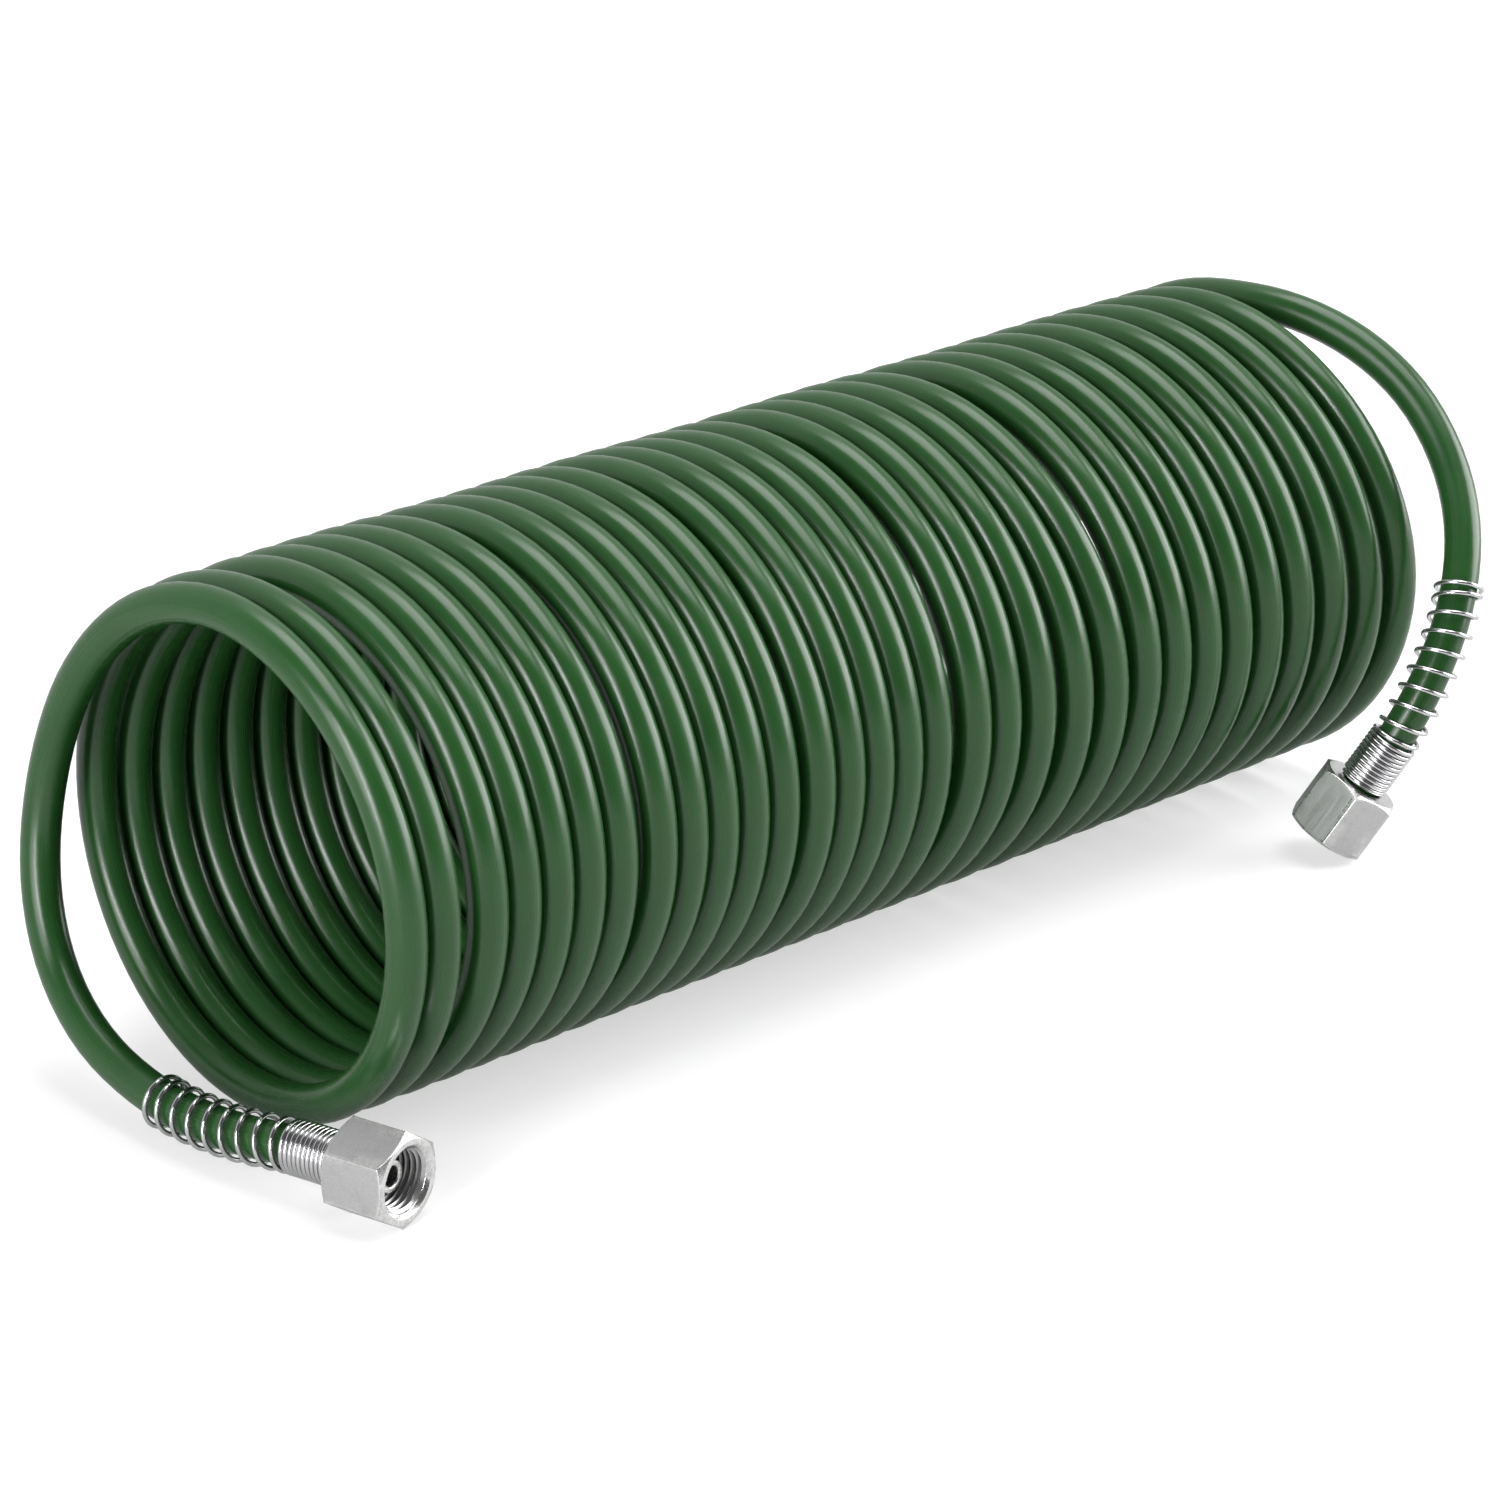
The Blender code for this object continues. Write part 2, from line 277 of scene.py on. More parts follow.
def smooth_line(points, samples):
    line = []
    for a, b, c, d in zip(points, points[1:], points[2:], points[3:]):
        line += [blend_of_four(a, b, c, d, step / samples) for step in range(samples)]
    line.append(blend_of_four(*points[-4:], 1.0))
    return line


def line_length(line):
    return sum((end - start).length for start, end in zip(line, line[1:]))


def evenly_spaced(line, spacing):
    """The same line with points at equal steps."""
    total = line_length(line)
    steps = max(2, round(total / spacing))
    wanted = [total * step / steps for step in range(steps + 1)]
    spaced = [line[0].copy()]
    walked = 0.0
    for start, end in zip(line, line[1:]):
        length = (end - start).length
        while len(spaced) < steps and wanted[len(spaced)] <= walked + length:
            spaced.append(start.lerp(end, (wanted[len(spaced)] - walked) / length))
        walked += length
    spaced.append(line[-1].copy())
    return spaced


hose_line = smooth_line(steering, samples_per_stretch)
hose_rings = evenly_spaced(hose_line, ring_spacing)

# %% [markdown]
# A tube is a row of equal rings on a line, joined by faces. Each ring needs its own
# sideways direction, and the direction is carried along from ring to ring without
# any twist, so the faces stay straight. The place on the straightened tube is kept
# in an attribute: the length along it, and the place across it. The fine lines of a
# drawn wire or an extruded tube follow the surface by that attribute.

# %% A helper that sweeps a tube along a line
scene_collection = scene.collection


def new_piece(name, mesh):
    piece = bpy.data.objects.new(name, mesh)
    scene_collection.objects.link(piece)
    return piece


def keep_places(mesh, places):
    """Store each vertex's place on the piece by itself, before it is bent or placed."""
    kept = mesh.attributes.new("own_place", "FLOAT_VECTOR", "POINT")
    kept.data.foreach_set("vector", [value for place in places for value in place])


def swept_tube(name, line, radius, sides, end_rings):
    """A closed round tube. end_rings lists (inset along, radius) from the rim to the cap."""
    side = Vector((0.0, 0.0, 1.0))
    places, own, along = [], [], 0.0
    rings = []
    for number, centre in enumerate(line):
        before = line[max(0, number - 1)]
        after = line[min(len(line) - 1, number + 1)]
        heading = (after - before).normalized()
        side = (side - heading * side.dot(heading)).normalized()
        across = heading.cross(side)
        along += (centre - before).length
        rings.append((centre, heading, side, across, along, radius))
    first, last = rings[0], rings[-1]
    start_rings = [(first[0] + first[1] * inset, *first[1:5], size) for inset, size in reversed(end_rings)]
    close_rings = [(last[0] - last[1] * inset, *last[1:5], size) for inset, size in end_rings]
    for centre, heading, side, across, along, size in start_rings + rings + close_rings:
        for step in range(sides):
            angle = 2 * math.pi * step / sides
            turned = (math.cos(angle) * size, math.sin(angle) * size)
            places.append(centre + side * turned[0] + across * turned[1])
            own.append((along, *turned))
    faces = []
    ring_count = len(places) // sides
    for ring in range(ring_count - 1):
        for step in range(sides):
            next_step = (step + 1) % sides
            low, high = ring * sides, (ring + 1) * sides
            faces.append((low + step, low + next_step, high + next_step, high + step))
    faces.append(tuple(range(sides - 1, -1, -1)))
    faces.append(tuple(range((ring_count - 1) * sides, ring_count * sides)))
    mesh = bpy.data.meshes.new(name)
    mesh.from_pydata([tuple(place) for place in places], [], faces)
    keep_places(mesh, own)
    mesh.shade_smooth()
    mesh.set_sharp_from_angle(angle=math.radians(50))
    return new_piece(name, mesh)


def report_piece(piece):
    """Print a piece's triangles, whether it is closed, and its volume."""
    shape = bmesh.new()
    shape.from_mesh(piece.data)
    open_edges = sum(1 for edge in shape.edges if len(edge.link_faces) != 2)
    triangles = sum(len(face.verts) - 2 for face in shape.faces)
    volume = shape.calc_volume(signed=True) * 1e9
    shape.free()
    print(f"{piece.name}: {triangles} triangles, {open_edges} open edges, {volume:.0f} cubic mm")


# %% [markdown]
# The whole hose is one piece, because nothing joins its turns. The wall is 1.25 mm
# thick. Its ends are hidden in the nuts, but they are cut like the real ones: a flat
# rim with the bore going in. The turned solid of the model and its two tails stay for
# collision only, and this piece stands for them.

# %% Make the hose
tube_bore_radius = 0.00275
tube_sides = 32
cut_edge = 0.0003
bore_depth = 0.0030
hose_ends = [
    (0.0, tube_radius - cut_edge),
    (0.0, tube_bore_radius),
    (bore_depth, tube_bore_radius),
]
hose = swept_tube("hose", hose_rings, tube_radius, tube_sides, hose_ends)
report_piece(hose)

# %% [markdown]
# A spring guard is one wire, wound with the right hand round the tube. Its turns lie
# close beside the nut, where they grip, and then open out so that the tube can bend.
# The last turn lies flatter, and its end is cut off square. A Screw modifier keeps
# one pitch and a straight axis, so here the line of the wire is computed instead: it
# walks back along the hose's own line while it goes round it.

# %% Wind the two spring guards
wire_radius = 0.00050
wire_sides = 12
wire_clearance = 0.0005
spring_mean_radius = tube_radius + wire_clearance + wire_radius
close_turns = 12
open_turns = 7.5
close_gap = 0.00005
close_pitch = 2 * wire_radius + close_gap
open_pitch = 0.0043
end_pitch = 0.0013
steps_per_wire_turn = 36
touch_gap = 0.0003


def spring_places():
    """Each step of the wire: its turn and its distance behind the nut's rear face."""
    places = []
    distance = touch_gap + wire_radius
    total_turns = close_turns + open_turns + 1
    for step in range(round(total_turns * steps_per_wire_turn) + 1):
        turn = step / steps_per_wire_turn
        places.append((turn, distance))
        if turn < close_turns - 1:
            pitch = close_pitch
        elif turn < close_turns:
            pitch = (close_pitch + open_pitch) / 2
        elif turn < total_turns - 1:
            pitch = open_pitch
        else:
            pitch = end_pitch
        distance += pitch / steps_per_wire_turn
    return places


def wire_line(tube_line):
    """Wind the wire about the end of a tube, starting beside the nut."""
    side = Vector((0.0, 0.0, 1.0))
    wire = []
    walked, number = 0.0, 0
    for turn, distance in spring_places():
        wanted = hose_entry + distance
        while walked + (tube_line[number + 1] - tube_line[number]).length < wanted:
            walked += (tube_line[number + 1] - tube_line[number]).length
            number += 1
        step = tube_line[number + 1] - tube_line[number]
        place = tube_line[number] + step * ((wanted - walked) / step.length)
        heading = step.normalized()
        side = (side - heading * side.dot(heading)).normalized()
        across = heading.cross(side)
        angle = 2 * math.pi * turn
        wire.append(place + (side * math.cos(angle) + across * math.sin(angle)) * spring_mean_radius)
    return wire


wire_end_edge = 0.00006
wire_ends = [(-wire_end_edge, wire_radius - wire_end_edge)]
near_spring = swept_tube("near_spring_wire", wire_line(hose_line), wire_radius, wire_sides, wire_ends)
far_spring = swept_tube("far_spring_wire", wire_line(hose_line[::-1]), wire_radius, wire_sides, wire_ends)
report_piece(near_spring)
report_piece(far_spring)

# %% [markdown]
# Turned metal pieces start as a cylinder. An end face is then carried on ring by
# ring: extruded to a new height and scaled to a new radius, as a lathe tool would
# follow the outline. Edit mode acts on what is selected, so everything is deselected
# first and the face is found by its place.

# %% Helpers for shaping in edit mode
same_place = 1e-5


def select_only(*pieces):
    bpy.ops.object.select_all(action="DESELECT")
    for piece in pieces:
        piece.select_set(True)
    bpy.context.view_layer.objects.active = pieces[0]


def select_faces(piece, wanted):
    """In edit mode, select only the faces for which wanted(face) holds."""
    bpy.ops.mesh.select_mode(type="FACE")
    bpy.ops.mesh.select_all(action="DESELECT")
    shape = bmesh.from_edit_mesh(piece.data)
    found = 0
    for face in shape.faces:
        if wanted(face):
            face.select_set(True)
            found += 1
    bmesh.update_edit_mesh(piece.data)
    return found


def end_face(height, radius):
    """A test for the flat end face at that height with a corner at that radius."""

    def wanted(face):
        middle = face.calc_center_median()
        reach = face.verts[0].co.xy.length
        flat = abs(face.normal.z) > 0.99
        placed = abs(middle.z - height) < same_place and middle.xy.length < same_place
        return flat and placed and abs(reach - radius) < same_place

    return wanted


def carry_face(piece, height, radius, outline):
    """Extrude the end face at (height, radius) through each (height, radius) of the outline."""
    found = select_faces(piece, end_face(height, radius))
    assert found == 1, (piece.name, height, radius, found)
    for next_height, next_radius in outline:
        bpy.ops.mesh.extrude_region_move(TRANSFORM_OT_translate={"value": (0.0, 0.0, next_height - height)})
        scale = next_radius / radius
        bpy.ops.transform.resize(value=(scale, scale, 1.0), center_override=(0.0, 0.0, next_height))
        height, radius = next_height, next_radius


def join_end_faces(piece, first, second):
    """Bridge two end faces that look at each other, which opens the bore between them."""
    one, other = end_face(*first), end_face(*second)
    found = select_faces(piece, lambda face: one(face) or other(face))
    assert found == 2, (piece.name, first, second, found)
    bpy.ops.mesh.bridge_edge_loops()


def apply_modifiers(piece):
    select_only(piece)
    for modifier in list(piece.modifiers):
        bpy.ops.object.modifier_apply(modifier=modifier.name)


# %% [markdown]
# The nut is made as the real one is. A blank is turned with a chamfer of 30 degrees
# at both ends, the socket for the thread and a hole for the hose at the rear. Then
# six flats are milled, each by one bisect that throws the outer part away and fills
# the cut. Where a flat meets the chamfer this leaves the curved edge that every
# hexagon nut shows, and no bevel could draw it.

# %% Turn the blank of the swivel nut
blank_allowance = 0.0001
blank_radius = nut_corner_radius + blank_allowance
chamfer_radius = 0.0083
chamfer_height = (blank_radius - chamfer_radius) * math.tan(math.radians(30))
mouth_radius = 0.0072
thread_root_radius = 0.0064
rear_hole_radius = 0.0047
rear_wall = 0.0025
rear_edge = 0.0004
thread_end = 0.0050
undercut_start = 0.0046
undercut_depth = 0.0003
hole_from_mouth = 0.0012
hole_from_rear = 0.0006
blank_sides = 96

bpy.ops.object.select_all(action="DESELECT")
bpy.ops.mesh.primitive_cylinder_add(
    vertices=blank_sides,
    radius=blank_radius,
    depth=nut_length - 2 * chamfer_height,
    location=(0.0, 0.0, nut_length / 2),
)
nut_model = bpy.context.active_object
nut_model.name = "nut_model"
select_only(nut_model)
bpy.ops.object.transform_apply(location=True, rotation=True, scale=True)
bpy.ops.object.mode_set(mode="EDIT")
mouth_step = mouth_radius - thread_root_radius
carry_face(
    nut_model,
    nut_length - chamfer_height,
    blank_radius,
    [
        (nut_length, chamfer_radius),
        (nut_length, mouth_radius),
        (nut_length - mouth_step, thread_root_radius),
        (thread_end, thread_root_radius),
        (undercut_start, thread_root_radius + undercut_depth),
        (rear_wall, thread_root_radius + undercut_depth),
        (rear_wall, rear_hole_radius),
        (hole_from_mouth, rear_hole_radius),
    ],
)
carry_face(
    nut_model,
    chamfer_height,
    blank_radius,
    [
        (0.0, chamfer_radius),
        (0.0, rear_hole_radius + rear_edge),
        (rear_edge, rear_hole_radius),
        (hole_from_rear, rear_hole_radius),
    ],
)
join_end_faces(nut_model, (hole_from_mouth, rear_hole_radius), (hole_from_rear, rear_hole_radius))
bpy.ops.object.mode_set(mode="OBJECT")
report_piece(nut_model)

# %% Mill the six flats
bpy.ops.object.mode_set(mode="EDIT")
for flat in range(6):
    angle = math.radians(60 * flat)
    outward = (math.cos(angle), math.sin(angle), 0.0)
    middle = (outward[0] * nut_across_flats / 2, outward[1] * nut_across_flats / 2, 0.0)
    bpy.ops.mesh.select_all(action="SELECT")
    bpy.ops.mesh.bisect(plane_co=middle, plane_no=outward, use_fill=True, clear_outer=True)
bpy.ops.object.mode_set(mode="OBJECT")
report_piece(nut_model)

# %% [markdown]
# A sharp edge never shines, and a real one always does, because plating rounds it. A
# Bevel modifier rounds every edge by a tenth of a millimetre. Weighted normals then
# keep the flats flat in the light. Inside each flat a border of 0.6 mm is cut first,
# and the corners outside it are marked in an attribute, where the plating wears.

# %% Round the nut's edges and mark them
flat_border = 0.0006
edge_rounding = 0.00012
edge_angle = math.radians(20)
flat_distance = nut_across_flats / 2 - same_place

bpy.ops.object.mode_set(mode="EDIT")
select_faces(
    nut_model,
    lambda face: abs(face.normal.z) < 0.01 and face.calc_center_median().xy.length > flat_distance,
)
bpy.ops.mesh.inset(thickness=flat_border, depth=0.0, use_even_offset=True)
bpy.ops.object.mode_set(mode="OBJECT")


def mark_edges(piece):
    """Give 1 to vertices where the surface turns and 0 where it is flat."""
    shape = bmesh.new()
    shape.from_mesh(piece.data)
    shape.normal_update()
    turning = []
    for vertex in shape.verts:
        sharpest = max((edge.calc_face_angle(0.0) for edge in vertex.link_edges), default=0.0)
        turning.append(1.0 if sharpest > edge_angle else 0.0)
    shape.free()
    marked = piece.data.attributes.new("edge", "FLOAT", "POINT")
    marked.data.foreach_set("value", turning)


def round_edges(piece):
    """Mark the edges of a piece, then round them and keep its flats even in the light."""
    mark_edges(piece)
    rounding = piece.modifiers.new("rounded edges", "BEVEL")
    rounding.width = edge_rounding
    rounding.segments = 2
    rounding.limit_method = "ANGLE"
    rounding.angle_limit = edge_angle
    rounding.use_clamp_overlap = True
    even_light = piece.modifiers.new("even light", "WEIGHTED_NORMAL")
    even_light.keep_sharp = True
    piece.data.shade_smooth()
    apply_modifiers(piece)


round_edges(nut_model)
report_piece(nut_model)

# %% [markdown]
# The thread inside the nut is a G1/4 pipe thread with 19 turns to the inch. Its rib
# is a small trapezoid that a Screw modifier winds up the socket's wall. The rib runs
# out through the mouth, and the mouth's chamfer cuts it away, so every point of it
# that would stand in the chamfer is moved back into the wall.

# %% Cut the thread
thread_pitch = 0.0254 / 19
thread_crest_radius = 0.0058
thread_turns = 7
thread_start = 0.0049
rib_root_depth = 0.00015
rib_depth = thread_root_radius - thread_crest_radius + rib_root_depth
rib_foot_share = 0.86
rib_crest_share = 0.20

bpy.ops.object.select_all(action="DESELECT")
bpy.ops.mesh.primitive_plane_add(
    size=1.0,
    location=(thread_crest_radius + rib_depth / 2, 0.0, thread_start),
    rotation=(math.radians(90), 0.0, 0.0),
)
thread = bpy.context.active_object
thread.name = "thread_model"
thread.scale = (rib_depth, thread_pitch * rib_foot_share, 1.0)
select_only(thread)
bpy.ops.object.transform_apply(location=True, rotation=True, scale=True)
bpy.ops.object.mode_set(mode="EDIT")
bpy.ops.mesh.select_mode(type="VERT")
bpy.ops.mesh.select_all(action="DESELECT")
profile = bmesh.from_edit_mesh(thread.data)
for vertex in profile.verts:
    vertex.select_set(vertex.co.x < thread_crest_radius + rib_depth / 2)
bmesh.update_edit_mesh(thread.data)
bpy.ops.transform.resize(
    value=(1.0, 1.0, rib_crest_share), center_override=(thread_crest_radius, 0.0, thread_start)
)
bpy.ops.object.mode_set(mode="OBJECT")
winding = thread.modifiers.new("winding", "SCREW")
winding.axis = "Z"
winding.angle = 2 * math.pi
winding.screw_offset = thread_pitch
winding.iterations = thread_turns
winding.steps = 48
winding.render_steps = 48
winding.use_merge_vertices = False
apply_modifiers(thread)
bpy.ops.object.mode_set(mode="EDIT")
bpy.ops.mesh.select_all(action="SELECT")
bpy.ops.mesh.fill_holes(sides=4)
bpy.ops.mesh.select_all(action="SELECT")
bpy.ops.mesh.normals_make_consistent(inside=False)
bpy.ops.object.mode_set(mode="OBJECT")
for vertex in thread.data.vertices:
    reach = vertex.co.xy.length
    least = mouth_radius - (nut_length - vertex.co.z) + 0.00006
    if reach < least:
        vertex.co.xy *= least / reach
    vertex.co.z = min(vertex.co.z, nut_length - 0.0001)
thread.data.shade_smooth()
thread.data.set_sharp_from_angle(angle=math.radians(35))
marked = thread.data.attributes.new("edge", "FLOAT", "POINT")
marked.data.foreach_set("value", [0.0] * len(thread.data.vertices))
report_piece(thread)

select_only(nut_model, thread)
bpy.ops.object.join()
print("nut and thread:", len(nut_model.data.vertices), "vertices")

# %% [markdown]
# The stem is what the nut turns on. Its flange lies behind the nut's rear wall, its
# neck goes into the hose, and its nose stands in the socket and seals against the
# other fitting. It is turned from a bar with a 4 mm bore, so the same way of carrying
# an end face makes it.

# %% Turn the stem
stem_bore_radius = 0.0020
flange_start = rear_wall + touch_gap
flange_end = flange_start + 0.0018
flange_radius = 0.0057
collar_radius = 0.0047
collar_length = 0.0016
nose_radius = 0.00315
nose_end = nut_length - 0.0038
nose_edge = 0.0002
neck_radius = 0.0040
neck_start = hose_entry + touch_gap
bore_from_nose = neck_start + 0.0010
bore_from_neck = neck_start + 0.0004

bpy.ops.object.select_all(action="DESELECT")
bpy.ops.mesh.primitive_cylinder_add(
    vertices=64,
    radius=flange_radius,
    depth=flange_end - flange_start,
    location=(0.0, 0.0, (flange_start + flange_end) / 2),
)
stem_model = bpy.context.active_object
stem_model.name = "stem_model"
select_only(stem_model)
bpy.ops.object.transform_apply(location=True, rotation=True, scale=True)
bpy.ops.object.mode_set(mode="EDIT")
carry_face(
    stem_model,
    flange_end,
    flange_radius,
    [
        (flange_end, collar_radius),
        (flange_end + collar_length, collar_radius),
        (nose_end, nose_radius),
        (nose_end, stem_bore_radius + nose_edge),
        (nose_end - nose_edge, stem_bore_radius),
        (bore_from_nose, stem_bore_radius),
    ],
)
carry_face(
    stem_model,
    flange_start,
    flange_radius,
    [
        (flange_start, neck_radius),
        (neck_start, neck_radius),
        (neck_start, stem_bore_radius),
        (bore_from_neck, stem_bore_radius),
    ],
)
join_end_faces(stem_model, (bore_from_nose, stem_bore_radius), (bore_from_neck, stem_bore_radius))
bpy.ops.object.mode_set(mode="OBJECT")
round_edges(stem_model)
report_piece(stem_model)

# %% [markdown]
# Both ends have the same fitting, so the nut and the stem are modelled once and
# copied. Each copy has a mesh of its own, and its place is put into that mesh, while
# the object stays at the origin. The place on the piece by itself is kept before,
# so that the marks of turning stay round the axis of each fitting.

# %% Place the nuts and the stems
def placed_copy(model, name, place):
    mesh = model.data.copy()
    mesh.name = name
    keep_places(mesh, [vertex.co.copy() for vertex in mesh.vertices])
    mesh.transform(place)
    return new_piece(name, mesh)


near_nut = placed_copy(nut_model, "near_nut_threaded", near_frame)
far_nut = placed_copy(nut_model, "far_nut_threaded", far_frame)
near_stem = placed_copy(stem_model, "near_stem_turned", near_frame)
far_stem = placed_copy(stem_model, "far_stem_turned", far_frame)
for model in (nut_model, stem_model):
    bpy.data.objects.remove(model, do_unlink=True)
for piece in (near_nut, far_nut, near_stem, far_stem):
    report_piece(piece)

# %% [markdown]
# Now each piece is tied to the body that it moves with. The nuts turn on their stems,
# and everything else belongs to the hose.

# %% Tie the pieces to the bodies
for piece in (hose, near_spring, far_spring, near_stem, far_stem):
    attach(piece, "hose")
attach(near_nut, "near_nut")
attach(far_nut, "far_nut")

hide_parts("hose_coil", "near_hose_tail", "far_hose_tail")
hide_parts("near_spring_guard")
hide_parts("far_spring_guard")
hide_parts("near_stem")
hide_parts("far_stem")
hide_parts("near_swivel_nut")
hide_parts("far_swivel_nut")

# %% [markdown]
# Several finishes here share the same effects, so each effect is a node group that
# is built once. A small helper makes the sockets and another makes a node and links
# what it reads. The first group draws fine lines: noise that is drawn out along the
# tube, as the die leaves them on an extruded tube or a drawn wire.

# %% Helpers for materials
def node_group(name, inputs, outputs):
    """An empty shader node group with its sockets: (name, kind, value)."""
    group = bpy.data.node_groups.new(name, "ShaderNodeTree")
    for socket_name, kind, value in inputs:
        socket = group.interface.new_socket(name=socket_name, in_out="INPUT", socket_type=kind)
        if value is not None:
            socket.default_value = value
    for socket_name, kind in outputs:
        group.interface.new_socket(name=socket_name, in_out="OUTPUT", socket_type=kind)
    return group


def add_node(tree, kind, values=None, **settings):
    """A node with its settings; values maps an input to a number or to another output."""
    node = tree.nodes.new(kind)
    for setting, value in settings.items():
        setattr(node, setting, value)
    for socket, value in (values or {}).items():
        if isinstance(value, bpy.types.NodeSocket):
            tree.links.new(value, node.inputs[socket])
        else:
            node.inputs[socket].default_value = value
    return node


def sum_of(tree, first, second):
    return add_node(tree, "ShaderNodeMath", {0: first, 1: second}, operation="ADD").outputs[0]


def product_of(tree, first, second):
    return add_node(tree, "ShaderNodeMath", {0: first, 1: second}, operation="MULTIPLY").outputs[0]


def ranged(tree, value, low, high, new_low, new_high):
    """Map a value from one range to another, with a soft start and end."""
    node = add_node(
        tree,
        "ShaderNodeMapRange",
        {"Value": value, "From Min": low, "From Max": high, "To Min": new_low, "To Max": new_high},
        interpolation_type="SMOOTHSTEP",
    )
    return node.outputs["Result"]


def mixed_colour(tree, share, first, second):
    node = add_node(tree, "ShaderNodeMix", {0: share, 6: first, 7: second}, data_type="RGBA")
    return node.outputs[2]


print("material helpers are ready")

# %% Node group: fine lines along a piece
fine_lines = node_group(
    "fine lines",
    [
        ("Place", "NodeSocketVector", None),
        ("Squeeze", "NodeSocketVector", (1.0, 100.0, 100.0)),
        ("Lines", "NodeSocketFloat", 60.0),
        ("Breaks", "NodeSocketFloat", 0.4),
    ],
    [("Lines", "NodeSocketFloat"), ("Fine", "NodeSocketFloat")],
)
given = fine_lines.nodes.new("NodeGroupInput").outputs
taken = fine_lines.nodes.new("NodeGroupOutput").inputs
squeezed = add_node(
    fine_lines,
    "ShaderNodeVectorMath",
    {0: given["Place"], 1: given["Squeeze"]},
    operation="MULTIPLY",
).outputs[0]
broad = add_node(
    fine_lines,
    "ShaderNodeTexNoise",
    {"Vector": squeezed, "Scale": given["Lines"], "Detail": 3.0, "Roughness": given["Breaks"]},
).outputs[0]
finer_scale = product_of(fine_lines, given["Lines"], 3.1)
fine = add_node(
    fine_lines,
    "ShaderNodeTexNoise",
    {"Vector": squeezed, "Scale": finer_scale, "Detail": 2.0, "Roughness": given["Breaks"]},
).outputs[0]
fine_lines.links.new(broad, taken["Lines"])
fine_lines.links.new(fine, taken["Fine"])
print("fine lines:", len(fine_lines.nodes), "nodes")

# %% [markdown]
# The second group is a fine even grain, for the satin skin of plated metal and the
# slight unevenness of moulded plastic. The third is wear: it takes the marked edges
# and breaks them up with noise, so that an edge is rubbed bright in places only.

# %% Node group: grain
surface_grain = node_group(
    "surface grain",
    [("Place", "NodeSocketVector", None), ("Size", "NodeSocketFloat", 900.0)],
    [("Grain", "NodeSocketFloat"), ("Clouds", "NodeSocketFloat")],
)
given = surface_grain.nodes.new("NodeGroupInput").outputs
taken = surface_grain.nodes.new("NodeGroupOutput").inputs
grain = add_node(
    surface_grain,
    "ShaderNodeTexNoise",
    {"Vector": given["Place"], "Scale": given["Size"], "Detail": 3.0, "Roughness": 0.6},
).outputs[0]
cloud_scale = product_of(surface_grain, given["Size"], 0.05)
clouds = add_node(
    surface_grain,
    "ShaderNodeTexNoise",
    {"Vector": given["Place"], "Scale": cloud_scale, "Detail": 2.0, "Roughness": 0.5},
).outputs[0]
surface_grain.links.new(grain, taken["Grain"])
surface_grain.links.new(clouds, taken["Clouds"])
print("surface grain:", len(surface_grain.nodes), "nodes")

# %% Node group: worn edges
worn_edges = node_group(
    "worn edges",
    [
        ("Place", "NodeSocketVector", None),
        ("Edge", "NodeSocketFloat", 0.0),
        ("Size", "NodeSocketFloat", 400.0),
        ("Amount", "NodeSocketFloat", 0.6),
    ],
    [("Worn", "NodeSocketFloat")],
)
given = worn_edges.nodes.new("NodeGroupInput").outputs
taken = worn_edges.nodes.new("NodeGroupOutput").inputs
patches = add_node(
    worn_edges,
    "ShaderNodeTexNoise",
    {"Vector": given["Place"], "Scale": given["Size"], "Detail": 3.0, "Roughness": 0.6},
).outputs[0]
broken = ranged(worn_edges, patches, 0.38, 0.62, 0.35, 1.0)
near_edge = ranged(worn_edges, given["Edge"], 0.25, 0.95, 0.0, 1.0)
worn = product_of(worn_edges, product_of(worn_edges, broken, near_edge), given["Amount"])
worn_edges.links.new(worn, taken["Worn"])
print("worn edges:", len(worn_edges.nodes), "nodes")


# %% A start for each material
def own_place(tree):
    return add_node(tree, "ShaderNodeAttribute", attribute_name="own_place").outputs["Vector"]


def start_material(name, constants):
    """A material with its shader's plain sockets set, and its tree."""
    made = bpy.data.materials.new(name)
    made.use_nodes = True
    tree = made.node_tree
    shader = tree.nodes["Principled BSDF"]
    for socket, value in constants.items():
        shader.inputs[socket].default_value = value
    return made, tree, shader


def group_node(tree, group, values):
    return add_node(tree, "ShaderNodeGroup", values, node_tree=group)


def bumped(tree, shader, height, distance, strength):
    bump = add_node(tree, "ShaderNodeBump", {"Height": height, "Distance": distance, "Strength": strength})
    tree.links.new(bump.outputs["Normal"], shader.inputs["Normal"])


def coat(material, *pieces):
    for piece in pieces:
        piece.data.materials.clear()
        piece.data.materials.append(material)


# %% [markdown]
# The hose is extruded plastic, dyed right through: dark green where it faces the
# dark of the room, and pale where its flanks mirror the white surroundings. It is
# smooth, but the die leaves fine lines along it, and they break up the reflections.
# The green also varies a little from one stretch to the next.

